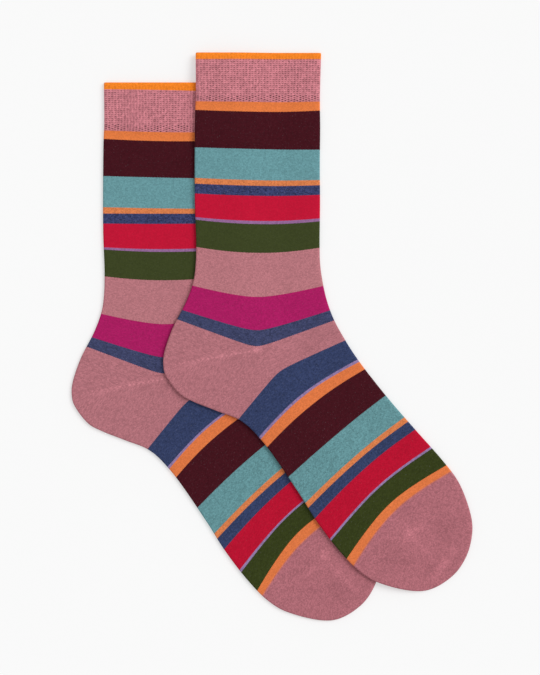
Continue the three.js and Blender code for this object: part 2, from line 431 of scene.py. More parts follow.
def bands_of(name):
    """The bands' ends along a sock's back edge, middle line and front edge, and their bends."""
    ends = np.array([band[1:] for band in BANDS])
    if name == "back_sock":
        shifts = np.array(BACK_SOCK_SHIFTS)
        for line in range(3):
            ends[:, line] += np.interp(np.arange(len(BANDS)), shifts[:, 0], shifts[:, line + 1])
    return ends.tolist()


def courses(name, cloth, row_step, cuff_row_step):
    """Courses from the mouth to the toes, with one on each change of yarn."""
    rows = []
    begin = (0.0, 0.0, 0.0, ROUND_BEND)
    stitch = 0
    for band, (back, middle, front, bend) in enumerate(bands_of(name)):
        longest = max(back - begin[0], middle - begin[1], front - begin[2])
        in_cuff = band == CUFF_BAND
        steps = max(1, math.ceil(longest / (cuff_row_step if in_cuff else row_step)))
        height = cloth.mesh_pitch if in_cuff else cloth.course_height
        stitches = max(1, round((middle - begin[1]) / height))
        end = (back, middle, front, bend)
        for i in range(steps):
            share = i / steps
            values = [a + (b - a) * share for a, b in zip(begin, end)]
            rows.append(Course(*values, stitch + stitches * share, band + share))
        begin = end
        stitch += stitches
    rows.append(Course(*begin, stitch, len(BANDS)))
    return rows


class Ring:
    """A closed run of points round the tube: over its top from fold to fold, and back underneath."""

    def __init__(self, course, inset, half, columns, fold_steps, under_columns=None, ribbed=False):
        self.course = course
        self.inset = inset
        self.half = half
        width = course.width(inset)
        top = across_side(columns, fold_steps, half, width)
        under = across_side(under_columns or columns, fold_steps, half, width)
        self.top_count = len(top[0])
        across, spread, in_flat = (np.concatenate([t, u[1:-1][::-1]]) for t, u in zip(top, under))
        self.spread = spread
        self.is_top = np.arange(len(across)) < self.top_count
        self.on_fold = np.zeros(len(across), bool)
        self.on_fold[[0, self.top_count - 1]] = True
        self.ribbed = in_flat & self.is_top & ribbed
        self.places = course.places(across, inset)
        low = -FOLD_WALES / WALES
        half_turn = (spread - low) / (1 - 2 * low) / 2
        self.turn = np.where(self.is_top, half_turn, 1 - half_turn)
        wales = (spread - 0.5) * WALES
        if course.band >= TOE_BAND:
            wales = wales * min(1.0, width / TOE_WIDTH)
        self.top_wales = np.where(self.is_top, wales, WALES - wales)
        self.under_wales = np.where(self.on_fold, WALES - wales, self.top_wales)
        self.stitch_above = np.full(len(across), course.stitch, float)
        self.stitch_below = self.stitch_above.copy()
        self.xyz = None
        self.tone = None


def across_side(columns, fold_steps, half, width):
    """Places across one side, fold to fold: share of the width, share of the flat part, if it's flat."""
    fold = min(half, width * WIDEST_FOLD)
    angles = np.arange(fold_steps) / fold_steps * math.pi / 2
    share = fold * (1 - np.cos(angles)) / width
    start = fold / width
    flat = np.linspace(0, 1, columns + 1)
    across = np.concatenate([share, start + flat * (1 - 2 * start), 1 - share[::-1]])
    outward = (1 - np.arange(fold_steps) / fold_steps) * FOLD_WALES / WALES
    spread = np.concatenate([-outward, flat, 1 + outward[::-1]])
    in_flat = np.concatenate([np.zeros(fold_steps), np.ones(columns + 1), np.zeros(fold_steps)])
    return across, spread, in_flat.astype(bool)


def rows_of_holes(name, cloth, spread, y, lifted):
    """How many rows of holes lie above each place of the cuff."""
    share, lower = np.array(ROW_LEAN[name]).T
    return (-y - CUFF_TOP) / cloth.mesh_pitch - np.interp(spread, share, lower) - LIFT_LEAN * lifted


def raise_rings(rings, name, cloth, lift):
    """Gives every point of the rings its height, and counts the cuff's rows of holes."""

    def every(values):
        return np.concatenate(values)

    places = np.vstack([ring.places for ring in rings])
    inset = every([np.full(len(ring.places), ring.inset) for ring in rings])
    half = every([np.full(len(ring.places), ring.half) for ring in rings])
    is_top = every([ring.is_top for ring in rings])
    on_fold = every([ring.on_fold for ring in rings])
    ribbed = every([ring.ribbed for ring in rings])
    spread = every([ring.spread for ring in rings])
    y = places[:, 1]

    fold_gap = distance_to_fold(places) - inset
    depth = np.clip(fold_gap / half, 0, 1)
    height = half * np.maximum(np.sqrt(1 - (1 - depth) ** 2), LEAST_HEIGHT)
    height[on_fold] = 0
    fade = np.clip(height / half, 0, 1) ** 2
    outside = np.clip(1 - inset / cloth.leg_wall, 0, 1)
    creases, top_painted_shading = crease_height_and_tone(places, TOP_CREASES[name])
    creases = creases - FOLD_DROP * np.exp(-fold_gap / FOLD_REACH)
    dents, under_painted_shading = crease_height_and_tone(places, UNDER_CREASES[name])
    relief = np.where(is_top, creases, dents) * fade * outside
    # Painted light: the creases' painted highlight and shade, and a painted sheen that lightens the cloth
    # beside the folds
    tone = np.where(is_top, top_painted_shading, under_painted_shading) + FOLD_PAINTED_SHEEN * np.exp(-fold_gap / FOLD_REACH)
    lifted = lift(places)
    rows = rows_of_holes(name, cloth, spread, y, lifted)
    relief = relief + np.where(ribbed, mesh_relief(cloth, spread, y, rows), 0)
    middle = lifted + cloth.wall(y) + cloth.hollow / 2
    z = middle + np.where(is_top, height, -height) + relief
    first = 0
    for ring in rings:
        last = first + len(ring.places)
        ring.xyz = np.column_stack([ring.places, z[first:last]])
        ring.tone = tone[first:last]
        place = ring.course.place
        counted = rows[first:last] + round(CUFF_TOP / cloth.course_height)
        if CUFF_BAND < place <= CUFF_BAND + 1:
            ring.stitch_above = counted
        if CUFF_BAND <= place < CUFF_BAND + 1:
            ring.stitch_below = counted
        first = last


def mesh_relief(cloth, spread, y, rows):
    """The cuff's ribs, and the rows of small holes between them, which are staggered at its foot."""
    ribs = spread * RIBS
    rib = 0.5 - 0.5 * np.cos(2 * math.pi * ribs)
    stagger = np.where(-y > STAGGERED_FROM, 0.5 * (np.round(ribs) % 2), 0)
    row = 0.5 + 0.5 * np.cos(2 * math.pi * (rows + stagger))
    fade = smooth_step(-y, CUFF_TOP, CUFF_TOP + RIB_FADE)
    fade = fade * (1 - smooth_step(-y, CUFF_FOOT - RIB_FADE, CUFF_FOOT))
    raised = cloth.rib_relief * (RIB_SIDE + (1 - RIB_SIDE) * rib)
    return fade * (raised - cloth.hole_depth * ((1 - rib) * row) ** HOLE_SHARPNESS)


def turn_heel_stitches(rings):
    """Counts the back half's courses along its columns from both ends of the heel to the gore line."""
    upper = [ring for ring in rings if ring.course.band == UPPER_HEEL]
    lower = [ring for ring in rings if ring.course.band == LOWER_HEEL]
    end = next(ring for ring in rings if ring.course.band > LOWER_HEEL)
    heel = [*upper, *lower, end]
    gore = len(upper)
    lengths = [np.zeros(len(heel[0].xyz))]
    for near, far in zip(heel, heel[1:]):
        lengths.append(lengths[-1] + np.linalg.norm((far.xyz - near.xyz)[:, :2], axis=1))
    first = heel[0].course.stitch
    last = end.course.stitch
    course_height = (end.course.middle - heel[0].course.middle) / (last - first)
    back_half = heel[0].spread < 0.5
    for i, ring in enumerate(heel[1:-1], 1):
        down = (first + lengths[i] / course_height)[back_half]
        up = (last - (lengths[-1] - lengths[i]) / course_height)[back_half]
        ring.stitch_above[back_half] = down if i <= gore else up
        ring.stitch_below[back_half] = down if i < gore else up


class Shell:
    """Rings of points joined by belts of faces, with two maps for the material.

    Knit holds each corner's column and round of stitches. Stripes holds how many bands one round
    passes there, and the place among the bands.
    """

    def __init__(self, course_height):
        self.course_height = course_height
        self.points = []
        self.painted_shadings = []
        self.count = 0
        self.belts = {4: [], 3: []}
        self.last = None

    def add(self, ring, downwards=True):
        start = self.count
        self.points.append(ring.xyz)
        self.painted_shadings.append(ring.tone)
        self.count += len(ring.xyz)
        if self.last is not None:
            self.join(*self.last, ring, start, downwards)
        self.last = (ring, start)

    def join(self, near, near_start, far, far_start, downwards):
        rings = (near, far)
        starts = (near_start, far_start)
        stitches = (near.stitch_below, far.stitch_above)
        if not downwards:
            stitches = (near.stitch_above, far.stitch_below)
        rise = abs(far.course.place - near.course.place) * self.course_height
        if len(near.xyz) == len(far.xyz):
            here = np.arange(len(near.xyz))
            after = np.roll(here, -1)
            index = np.stack([here, here, after, after], axis=1)
            which = np.broadcast_to([0, 1, 1, 0], index.shape)
            is_top = here < near.top_count - 1
            run = np.linalg.norm(far.xyz - near.xyz, axis=1)
            growth = np.minimum(rise / np.maximum(run, LEAST_RUN), MOST_GROWTH)[index]
        else:
            which, index = zip_rings(near, far)
            turn = np.where(which == 0, near.turn[index % len(near.turn)], far.turn[index % len(far.turn)])
            is_top = turn.min(axis=1) < 0.5 - TURN_ROUNDING
            growth = np.zeros(index.shape)

        def pick(first, second):
            return np.where(which == 0, first[index % len(first)], second[index % len(second)])

        faces = index + np.where(which == 0, *starts)
        top_wales = pick(near.top_wales, far.top_wales)
        under_wales = pick(near.under_wales, far.under_wales)
        wales = np.where(is_top[:, None], top_wales, under_wales)
        knit = np.stack([wales, pick(*stitches)], axis=-1)
        place = np.where(which == 0, *(ring.course.place for ring in rings))
        stripes = np.stack([growth, place], axis=-1)
        self.belts[index.shape[1]].append((faces, knit, stripes))

    def to_mesh(self, name, place):
        points = np.vstack(self.points)
        points[:, :2] += place
        faces = []
        knit = []
        stripes = []
        for belts in self.belts.values():
            for belt_faces, belt_knit, belt_stripes in belts:
                faces.extend(belt_faces.tolist())
                knit.append(belt_knit.reshape(-1, 2))
                stripes.append(belt_stripes.reshape(-1, 2))
        mesh = bpy.data.meshes.new(name)
        mesh.from_pydata((points * MM).tolist(), [], faces)
        for map_name, values in (("Knit", knit), ("Stripes", stripes)):
            layer = mesh.uv_layers.new(name=map_name)
            layer.data.foreach_set("uv", np.vstack(values).astype(np.float32).ravel())
        # Painted highlight and shade of the creases and folds, one value a point
        tone = mesh.attributes.new("Tone", "FLOAT", "POINT")
        tone.data.foreach_set("value", np.concatenate(self.painted_shadings).astype(np.float32))
        mesh.polygons.foreach_set("use_smooth", np.ones(len(mesh.polygons), bool))
        mesh.update()
        return mesh


def zip_rings(near, far):
    """The triangles between two rings of different counts: for each corner, which ring and which point."""
    near_count = len(near.turn)
    far_count = len(far.turn)
    near_steps = near_count if near_count > 1 else 0
    far_steps = far_count if far_count > 1 else 0
    near_turn = np.append(near.turn, 1.0)
    far_turn = np.append(far.turn, 1.0)
    corners = []
    i = 0
    j = 0
    while i < near_steps or j < far_steps:
        here = (0, i % near_count)
        there = (1, j % far_count)
        if j >= far_steps or (i < near_steps and near_turn[i + 1] <= far_turn[j + 1]):
            i += 1
            following = (0, i % near_count)
        else:
            j += 1
            following = (1, j % far_count)
        corners.append((here, there, following))
    corners = np.array(corners)
    return corners[..., 0], corners[..., 1]


class Tip:
    """The closed end of a surface: one point at the toes."""

    def __init__(self, inset, last):
        to_tip = np.linalg.norm(OUTLINE.points - np.array(TOE_TIP), axis=1)
        self.places = inside_outline(OUTLINE.lengths[to_tip.argmin()], inset)[None]
        self.course = Course(0, MIDDLE.length, 0, ROUND_BEND, last.stitch + 1, len(BANDS))
        self.inset = inset
        self.half = 1
        self.top_count = 1
        self.spread = np.full(1, 0.5)
        self.is_top = np.ones(1, bool)
        self.on_fold = np.ones(1, bool)
        self.ribbed = np.zeros(1, bool)
        self.turn = np.zeros(1)
        self.top_wales = np.zeros(1)
        self.under_wales = np.full(1, WALES)
        self.stitch_above = np.full(1, self.course.stitch)
        self.stitch_below = self.stitch_above
        self.xyz = None
        self.tone = None


def knit_sock(name, place, lift, sizes):
    """Builds a sock's shell: inside from the toes up, round the mouth, and outside back to the toes."""
    cloth = Cloth(sizes)
    outer_rows = courses(name, cloth, sizes.row_step / MM, sizes.cuff_row_step / MM)
    inner_rows = courses(name, cloth, sizes.inner_step / MM, sizes.inner_step / MM)
    rim = cloth.cuff_wall / 2

    inside = [Tip(cloth.leg_wall, inner_rows[-1])]
    for course in inner_rows[::-1]:
        if course.middle > rim:
            inset = cloth.wall(-course.middle)
            inside.append(Ring(course, inset, cloth.hollow / 2, sizes.inner_columns, 2))

    outside = []
    middle_of_wall = cloth.cuff_wall + cloth.hollow / 2
    for i in range(sizes.rim_steps):
        angle = math.pi * (1 - i / sizes.rim_steps)
        inset = rim * (1 - math.cos(angle))
        depth = rim * (1 - math.sin(angle))
        stitch = depth / cloth.course_height
        course = Course(depth, depth, depth, ROUND_BEND, stitch, depth / CUFF_TOP)
        outside.append(Ring(course, inset, middle_of_wall - inset, sizes.columns, sizes.fold_steps))
    for course in outer_rows:
        if course.middle < rim:
            continue
        half = cloth.wall(-course.middle) + cloth.hollow / 2
        in_cuff = course.band == CUFF_BAND
        columns = sizes.rib_columns if in_cuff else sizes.columns
        ring = Ring(course, 0.0, half, columns, sizes.fold_steps, sizes.columns, in_cuff)
        outside.append(ring)
    outside.append(Tip(0.0, outer_rows[-1]))

    raise_rings([*inside, *outside], name, cloth, lift)
    turn_heel_stitches(outside)
    shell = Shell(cloth.course_height)
    for ring in inside:
        shell.add(ring, False)
    for ring in outside:
        shell.add(ring)
    sock = bpy.data.objects.new(name + "_knit", shell.to_mesh(name + "_knit", place))
    bpy.context.scene.collection.objects.link(sock)
    return sock


class Tree:
    """Adds nodes to a material and joins them."""

    def __init__(self, name):
        self.material = bpy.data.materials.new(name)
        self.material.use_nodes = True
        self.nodes = self.material.node_tree.nodes
        self.links = self.material.node_tree.links
        self.nodes.clear()

    def add(self, kind, **values):
        node = self.nodes.new(kind)
        for key, value in values.items():
            setattr(node, key, value)
        return node

    def feed(self, socket, value):
        if isinstance(value, bpy.types.NodeSocket):
            self.links.new(value, socket)
        else:
            socket.default_value = value

    def math(self, operation, a, b=0.0, c=0.0, clamp=False):
        node = self.add("ShaderNodeMath", operation=operation, use_clamp=clamp)
        for socket, value in zip(node.inputs, (a, b, c)):
            self.feed(socket, value)
        return node.outputs[0]

    def wave(self, phase):
        """0.5 + 0.5 cos of a phase counted in turns."""
        turned = self.math("MULTIPLY", phase, 2 * math.pi)
        return self.math("MULTIPLY_ADD", self.math("COSINE", turned), 0.5, 0.5)

    def between(self, value, low, high):
        """1 where low < value < high."""
        above = self.math("GREATER_THAN", value, low)
        below = self.math("LESS_THAN", value, high)
        return self.math("MULTIPLY", above, below)

    def uv(self, name):
        node = self.add("ShaderNodeUVMap", uv_map=name)
        split = self.add("ShaderNodeSeparateXYZ")
        self.links.new(node.outputs[0], split.inputs[0])
        return split.outputs[0], split.outputs[1]

    def point(self, x, y, z=0.0):
        node = self.add("ShaderNodeCombineXYZ")
        for socket, value in zip(node.inputs, (x, y, z)):
            self.feed(socket, value)
        return node.outputs[0]

    def noise(self, vector, scale, detail=2.0, roughness=0.5):
        node = self.add("ShaderNodeTexNoise")
        self.links.new(vector, node.inputs["Vector"])
        node.inputs["Scale"].default_value = scale
        node.inputs["Detail"].default_value = detail
        node.inputs["Roughness"].default_value = roughness
        return node.outputs["Fac"]

    def mix(self, share, a, b, blend="MIX"):
        node = self.add("ShaderNodeMix", data_type="RGBA", blend_type=blend)
        node.clamp_factor = True
        self.feed(node.inputs[0], share)
        for socket, value in ((node.inputs[6], a), (node.inputs[7], b)):
            self.feed(socket, value)
        return node.outputs[2]

    def map_range(self, value, low, high, to_low=0.0, to_high=1.0, smooth=False):
        node = self.add("ShaderNodeMapRange")
        if smooth:
            node.interpolation_type = "SMOOTHSTEP"
        for socket, item in zip(node.inputs, (value, low, high, to_low, to_high)):
            self.feed(socket, item)
        return node.outputs[0]


# The knit's finish. The last orange band fades into the toes over this share of their first band, and
# this much of it is left where they begin
FADE_REACH = 0.035
FADE_START = 0.6
# How much painted shade darkens the cuff's holes, how much more where they are staggered, the power that
# shapes a hole across its groove, how much the holes differ, and the painted shade on the cuff's ribs and,
# in the turned edge, in the grooves
HOLE_PAINTED_SHADE = 0.62
STAGGERED_PAINTED_SHADE = 0.3
HOLE_POWER = 0.8
HOLE_RANGE = (0.55, 1.3)
RIB_PAINTED_SHADE = -0.12
# The heel's gore line: how many columns it takes from each fold, how far it fades out, in rounds, how
# much a painted highlight lightens its drawn stitches, and how much painted shade darkens the line under
# them
GORE_WALES = 36.0
GORE_FADE = (0.3, 1.1)
DRAWN_PAINTED_HIGHLIGHT = 0.35
GORE_PAINTED_SHADE = -0.1
# Uneven dye from stitch to stitch, broad patches of it, and lint
DYE_SPREAD = 0.9
PATCH_RANGE = (0.982, 1.018)
LINT_SHARE = 0.4
LINT_COLOUR = (0.36, 0.36, 0.4, 1.0)
# Heights in the bump, as shares of a stitch's own, which stands this far up in metres
GRAIN_BUMP = 0.3
HOLE_BUMP = 0.8
EDGE_BUMP = 0.5
DRAWN_BUMP = 0.8
STITCH_BUMP = 0.00014
# How unevenly each yarn is dyed, and how much pale lint it shows
UNEVENNESS = {
    "edge_orange": 0.25, "cuff_rose": 0.42, "orange": 0.2, "wine": 0.3, "teal": 0.3, "foot_teal": 0.4,
    "thin_orange": 0.35, "navy": 0.8, "ankle_navy": 0.6, "foot_navy": 0.5, "red": 0.14, "foot_red": 0.2,
    "lilac": 0.3, "foot_lilac": 0.4, "green": 0.2, "foot_green": 0.3, "rose": 0.3, "magenta": 0.25,
    "heel_rose": 0.34, "foot_orange": 0.22, "toe_rose": 0.36,
}


def stripe_ramp(tree, colours, place):
    """The yarn's colour at a place among the bands, and in alpha its unevenness."""
    node = tree.add("ShaderNodeValToRGB")
    ramp = node.color_ramp
    ramp.interpolation = "CONSTANT"
    while len(ramp.elements) < len(BANDS):
        ramp.elements.new(1.0)
    for band, element in enumerate(ramp.elements):
        element.position = band / len(BANDS)
    for band, element in enumerate(ramp.elements):
        yarn = BANDS[band][0]
        element.color = (*getattr(colours, yarn), UNEVENNESS[yarn])
    band = tree.math("ADD", tree.math("FLOOR", place), 0.5)
    tree.links.new(tree.math("DIVIDE", band, float(len(BANDS))), node.inputs[0])
    return node.outputs["Color"], node.outputs["Alpha"]


def knit_material(colours, cloth):
    """Striped knit: stitches, the cuff's mesh, the heel's gore line, uneven dye and lint, with painted
    shade in the mesh's holes, on its ribs and in the gore line, and painted highlights on the gore's
    stitches, the creases and the folds.
    """
    tree = Tree(SLOT)
    wale, stitch = tree.uv("Knit")
    growth, place = tree.uv("Stripes")
    spot = tree.add("ShaderNodeTexCoord").outputs["Object"]
    # pale holds the painted highlight and shade of the creases and folds, read from the mesh
    pale = tree.add("ShaderNodeAttribute", attribute_name="Tone").outputs["Fac"]

    # Each stitch is a V: two plump legs that slant down to the middle of its wale
    in_wale = tree.math("FRACT", wale)
    side = tree.math("ABSOLUTE", tree.math("MULTIPLY_ADD", in_wale, 2.0, -1.0))
    slanted = tree.math("MULTIPLY_ADD", side, 0.5, stitch)
    leg_turn = tree.math("MULTIPLY_ADD", side, 2.0, -1.0)
    leg = tree.math("SUBTRACT", 1.0, tree.math("MULTIPLY", leg_turn, leg_turn))
    plump = tree.math("MULTIPLY_ADD", tree.wave(slanted), 0.55, 0.45)
    stitch_height = tree.math("MULTIPLY", leg, plump)

    # Yarn changes follow the stitches, and the last orange shines through the first rows of the toes
    tooth = tree.math("MULTIPLY_ADD", side, 0.5, -0.25)
    dyed_place = tree.math("MULTIPLY_ADD", tooth, growth, place)
    colour, unevenness = stripe_ramp(tree, colours, dyed_place)
    in_toe = tree.math("GREATER_THAN", dyed_place, float(TOE_BAND))
    faded = tree.map_range(dyed_place, float(TOE_BAND), TOE_BAND + FADE_REACH, FADE_START, 0.0)
    colour = tree.mix(tree.math("MULTIPLY", in_toe, faded), colour, (*colours.foot_orange, 1.0))

    # The cuff's mesh: holes between the ribs, staggered at its foot and darkened with painted shade, as
    # are the ribs and the turned edge's grooves
    cuff = tree.between(place, float(CUFF_BAND), CUFF_BAND + 1.0)
    ribs = tree.math("MULTIPLY", wale, RIBS / WALES)
    first_stitch = round(CUFF_TOP / cloth.course_height)
    foot_stitch = first_stitch + (STAGGERED_FROM - CUFF_TOP) / cloth.mesh_pitch
    odd = tree.math("MULTIPLY", tree.math("MODULO", tree.math("ROUND", ribs), 2.0), 0.5)
    at_foot = tree.math("GREATER_THAN", stitch, foot_stitch)
    stagger = tree.math("MULTIPLY", odd, at_foot)
    row = tree.wave(tree.math("ADD", stitch, stagger))
    groove = tree.wave(ribs)
    hole = tree.math("MULTIPLY", tree.math("POWER", groove, HOLE_POWER), row)
    own = tree.add("ShaderNodeTexWhiteNoise", noise_dimensions="2D")
    counted = tree.point(tree.math("ROUND", ribs), tree.math("ROUND", tree.math("ADD", stitch, stagger)))
    tree.links.new(counted, own.inputs["Vector"])
    hole = tree.math("MULTIPLY", hole, tree.map_range(own.outputs["Value"], 0.0, 1.0, *HOLE_RANGE))
    hole = tree.math("MULTIPLY", tree.math("MINIMUM", hole, 1.0), cuff)
    rib = tree.math("MULTIPLY", tree.math("SUBTRACT", 1.0, groove), cuff)
    edge = tree.map_range(place, 0.35, 0.6)
    edge = tree.math("MULTIPLY", edge, tree.math("LESS_THAN", dyed_place, 1.0))
    edge_rib = tree.math("MULTIPLY", edge, groove)

    # The gore line of the heel, a row of drawn stitches down the back half of each side, lightened with a
    # painted highlight over a line of painted shade
    from_gore = tree.math("SUBTRACT", place, float(LOWER_HEEL))
    from_gore = tree.math("DIVIDE", from_gore, tree.math("MAXIMUM", growth, 0.001))
    at_gore = tree.map_range(tree.math("ABSOLUTE", from_gore), *GORE_FADE, 1.0, 0.0, True)
    top_back = tree.between(wale, -GORE_WALES, -0.5)
    under_back = tree.between(wale, WALES + 0.5, WALES + GORE_WALES)
    at_gore = tree.math("MULTIPLY", at_gore, tree.math("ADD", top_back, under_back))
    drawn = tree.math("MULTIPLY", at_gore, tree.wave(tree.math("MULTIPLY", wale, 0.5)))

    # Uneven dye from one stitch to the next and over the cloth
    cell = tree.add("ShaderNodeTexWhiteNoise", noise_dimensions="2D")
    one_stitch = tree.point(tree.math("FLOOR", wale), tree.math("FLOOR", slanted))
    tree.links.new(one_stitch, cell.inputs["Vector"])
    patch = tree.noise(spot, 90.0, 3.0, 0.6)
    grain = tree.noise(spot, 1700.0, 1.0, 0.5)
    spread = tree.math("ADD", cell.outputs["Value"], tree.map_range(grain, 0.3, 0.7, -1.0, 0.0))
    tone = tree.math("MULTIPLY_ADD", tree.math("MULTIPLY", spread, unevenness), DYE_SPREAD, 1.0)
    tone = tree.math("MULTIPLY", tone, tree.map_range(patch, 0.3, 0.7, *PATCH_RANGE))
    # Painted highlight and shade of the creases and folds
    tone = tree.math("MULTIPLY", tone, tree.math("ADD", pale, 1.0))
    # Painted shade in the cuff's holes, then painted shade on ribs, grooves and gore line and a painted
    # highlight on its drawn stitches
    painted_hole_shade = tree.math("MULTIPLY_ADD", at_foot, STAGGERED_PAINTED_SHADE, HOLE_PAINTED_SHADE)
    tone = tree.math("MULTIPLY", tone, tree.math("SUBTRACT", 1.0, tree.math("MULTIPLY", hole, painted_hole_shade)))
    painted_marks = ((rib, RIB_PAINTED_SHADE), (edge_rib, RIB_PAINTED_SHADE), (drawn, DRAWN_PAINTED_HIGHLIGHT), (at_gore, GORE_PAINTED_SHADE))
    for share, painted_light in painted_marks:
        tone = tree.math("MULTIPLY", tone, tree.math("MULTIPLY_ADD", share, painted_light, 1.0))
    toned = tree.mix(1.0, colour, tree.point(tone, tone, tone), "MULTIPLY")

    # Pale lint that catches on the yarn
    flecks = tree.point(tree.math("MULTIPLY", wale, 0.9), tree.math("MULTIPLY", stitch, 0.45))
    lint = tree.noise(flecks, 1.7)
    lint = tree.map_range(lint, 0.62, 0.74, 0.0, 1.0, True)
    lint = tree.math("MULTIPLY", lint, unevenness)
    base = tree.mix(tree.math("MULTIPLY", lint, LINT_SHARE), toned, LINT_COLOUR)

    height = tree.math("MULTIPLY_ADD", grain, GRAIN_BUMP, stitch_height)
    height = tree.math("SUBTRACT", height, tree.math("MULTIPLY", hole, HOLE_BUMP))
    height = tree.math("SUBTRACT", height, tree.math("MULTIPLY", edge_rib, EDGE_BUMP))
    height = tree.math("ADD", height, tree.math("MULTIPLY", drawn, DRAWN_BUMP))
    bump = tree.add("ShaderNodeBump")
    bump.inputs["Strength"].default_value = 0.7
    bump.inputs["Distance"].default_value = STITCH_BUMP
    tree.links.new(height, bump.inputs["Height"])

    shader = tree.add("ShaderNodeBsdfPrincipled")
    shader.inputs["Roughness"].default_value = 0.92
    shader.inputs["Specular IOR Level"].default_value = 0.05
    shader.inputs["Sheen Weight"].default_value = 0.05
    shader.inputs["Sheen Roughness"].default_value = 0.3
    tree.links.new(base, shader.inputs["Base Color"])
    tree.links.new(bump.outputs["Normal"], shader.inputs["Normal"])
    output = tree.add("ShaderNodeOutputMaterial")
    tree.links.new(shader.outputs[0], output.inputs["Surface"])
    return tree.material


# How bright the light makes a white thing that lies on the table
BRIGHTNESS = 1.06


def floor_material(studio):
    """Matt pale table. Part of its light is its own, which keeps the shadows on it faint."""
    tree = Tree("pale_table")
    spot = tree.add("ShaderNodeTexCoord").outputs["Object"]
    patch = tree.noise(spot, 3.0, 2.0)
    shade = tree.map_range(patch, 0.3, 0.7, 0.995, 1.0)
    painted = tuple((1 - studio.table_glow) * part for part in studio.table_colour)
    colour = tree.mix(1.0, (*painted, 1.0), tree.point(shade, shade, shade), "MULTIPLY")
    shader = tree.add("ShaderNodeBsdfPrincipled")
    shader.inputs["Roughness"].default_value = 0.9
    shader.inputs["Specular IOR Level"].default_value = 0.0
    shader.inputs["Emission Color"].default_value = (*studio.table_colour, 1.0)
    shader.inputs["Emission Strength"].default_value = studio.table_glow * BRIGHTNESS
    tree.links.new(colour, shader.inputs["Base Color"])
    output = tree.add("ShaderNodeOutputMaterial")
    tree.links.new(shader.outputs[0], output.inputs["Surface"])
    return tree.material


def linear(red, green, blue):
    """A colour seen on the screen, 0 to 255, as the yarn's own colour."""
    def one(value):
        share = value / 255
        light = share / 12.92 if share <= 0.04045 else ((share + 0.055) / 1.055) ** 2.4
        return light / BRIGHTNESS

    return one(red), one(green), one(blue)


def yarn(name, description, red, green, blue):
    return bpy.props.FloatVectorProperty(
        name=name,
        description=description,
        subtype="COLOR",
        size=3,
        min=0.0,
        max=1.0,
        default=linear(red, green, blue),
    )


def length(name, description, default, low, high):
    return bpy.props.FloatProperty(
        name=name,
        description=description,
        unit="LENGTH",
        default=default * MM,
        min=low * MM,
        max=high * MM,
        precision=5,
    )


class SOCKS_PG_sizes(bpy.types.PropertyGroup):
    """Sizes of the knitting and of its mesh."""

    leg_wall: length("Leg cloth", "Thickness of one layer of the leg", 1.0, 0.5, 2)
    cuff_wall: length("Cuff cloth", "Thickness of the doubled cuff", 1.25, 0.5, 3)
    hollow: length("Hollow", "Gap between the two sides of a sock", 0.4, 0.1, 5)
    rib_relief: length("Rib relief", "How far a rib of the cuff stands up", 0.25, 0, 1)
    hole_depth: length("Hole depth", "How deep the holes between the ribs are", 0.14, 0, 1)
    mesh_pitch: length("Hole spacing", "Distance between rows of holes in the cuff", 1.333, 0.5, 5)
    course_height: length("Course height", "Height of a round of stitches", 0.75, 0.3, 3)
    row_step: length("Row step", "Distance between rows of the mesh", 1.4, 0.5, 10)
    cuff_row_step: length("Cuff row step", "Distance between rows in the cuff", 0.34, 0.2, 5)
    inner_step: length("Inner row step", "Distance between rows of the inside", 4.0, 1, 20)
    columns: bpy.props.IntProperty(
        name="Columns", description="Columns across one side", default=60, min=8, max=200
    )
    rib_columns: bpy.props.IntProperty(
        name="Cuff columns", description="Columns across the cuff", default=200, min=80, max=400
    )
    inner_columns: bpy.props.IntProperty(
        name="Inner columns", description="Columns across the inside", default=24, min=4, max=100
    )
    fold_steps: bpy.props.IntProperty(
        name="Fold steps", description="Steps round half a fold", default=5, min=2, max=12
    )
    rim_steps: bpy.props.IntProperty(
        name="Rim steps", description="Steps round the edge of the mouth", default=6, min=2, max=12
    )


class SOCKS_PG_colours(bpy.types.PropertyGroup):
    """Colours of the yarns."""

    edge_orange: yarn("Cuff edge", "Bright orange yarn of the turned edge", 250, 136, 40)
    cuff_rose: yarn("Cuff rose", "Rose yarn of the ribbed cuff", 216, 135, 145)
    orange: yarn("Orange", "Orange yarn of the leg's wider stripe", 229, 124, 66)
    wine: yarn("Wine", "Dark wine yarn", 67, 19, 28)
    teal: yarn("Teal", "Grey teal yarn", 104, 152, 158)
    thin_orange: yarn("Thin orange", "Dull orange yarn of the thin stripes", 216, 126, 76)
    navy: yarn("Navy", "Navy yarn of the leg", 55, 62, 101)
    red: yarn("Red", "Red yarn", 194, 22, 54)
    lilac: yarn("Lilac", "Lilac yarn of the thin lines", 148, 104, 151)
    green: yarn("Green", "Dark green yarn", 60, 68, 35)
    rose: yarn("Ankle rose", "Rose yarn over the ankle", 183, 118, 125)
    magenta: yarn("Magenta", "Magenta yarn", 170, 29, 96)
    ankle_navy: yarn("Ankle navy", "Greyer navy yarn above the heel", 62, 67, 100)
    heel_rose: yarn("Heel rose", "Rose yarn of the heel", 177, 113, 121)
    # The foot's navy, teal, red and green and the toes' rose are darker copies of the leg's and heel's
    # yarns: painted shade where the light falls off towards the toes
    foot_navy: yarn("Foot navy", "Navy yarn of the foot", 52, 63, 98)
    foot_lilac: yarn("Foot lilac", "Pale lilac yarn of the foot's thin lines", 143, 121, 163)
    foot_orange: yarn("Foot orange", "Orange yarn of the foot's wider stripes", 223, 120, 68)
    foot_teal: yarn("Foot teal", "Grey teal yarn of the foot", 100, 146, 151)
    foot_red: yarn("Foot red", "Red yarn of the foot", 184, 18, 48)
    foot_green: yarn("Foot green", "Dark green yarn of the foot", 53, 61, 26)
    toe_rose: yarn("Toe rose", "Rose yarn of the toes", 174, 107, 116)


